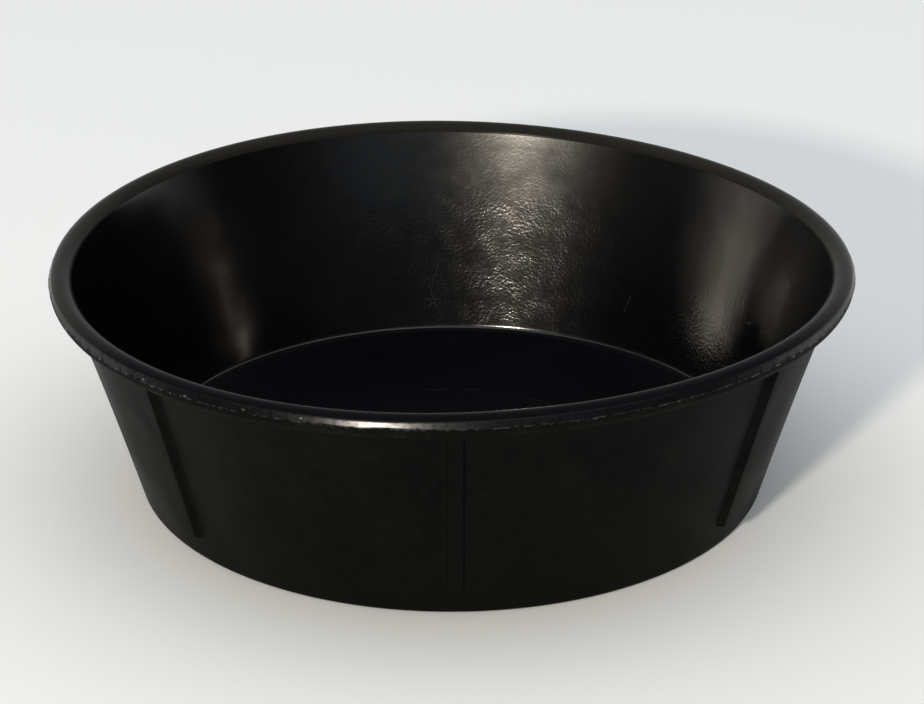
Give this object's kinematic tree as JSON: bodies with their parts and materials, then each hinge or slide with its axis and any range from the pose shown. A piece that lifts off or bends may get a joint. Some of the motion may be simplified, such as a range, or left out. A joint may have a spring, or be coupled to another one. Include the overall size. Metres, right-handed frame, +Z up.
{
  "type": "rubber feed tub",
  "caption": "Round moulded rubber tub with a flared side wall, a rolled rim bead and upright ribs outside; it stands on a flat foot and holds feed or water for livestock.",
  "frame": {"origin": "centre of the foot's ground face", "axes": "+Z up along the tub's axis; the first rib faces -Y"},
  "size_m": [0.4099, 0.41, 0.121],
  "materials": {
    "black_rubber": "moulded black rubber, satin, grainy inside, lightly scuffed and dusty"
  },
  "bodies": {
    "root": {"floor_disc": "black_rubber", "heel_ring": "black_rubber", "side_wall": "black_rubber", "rim_bead": "black_rubber", "rib_1": "black_rubber", "rib_2": "black_rubber", "rib_3": "black_rubber", "rib_4": "black_rubber", "rib_5": "black_rubber", "rib_6": "black_rubber", "rib_7": "black_rubber"}
  },
  "joints": []
}
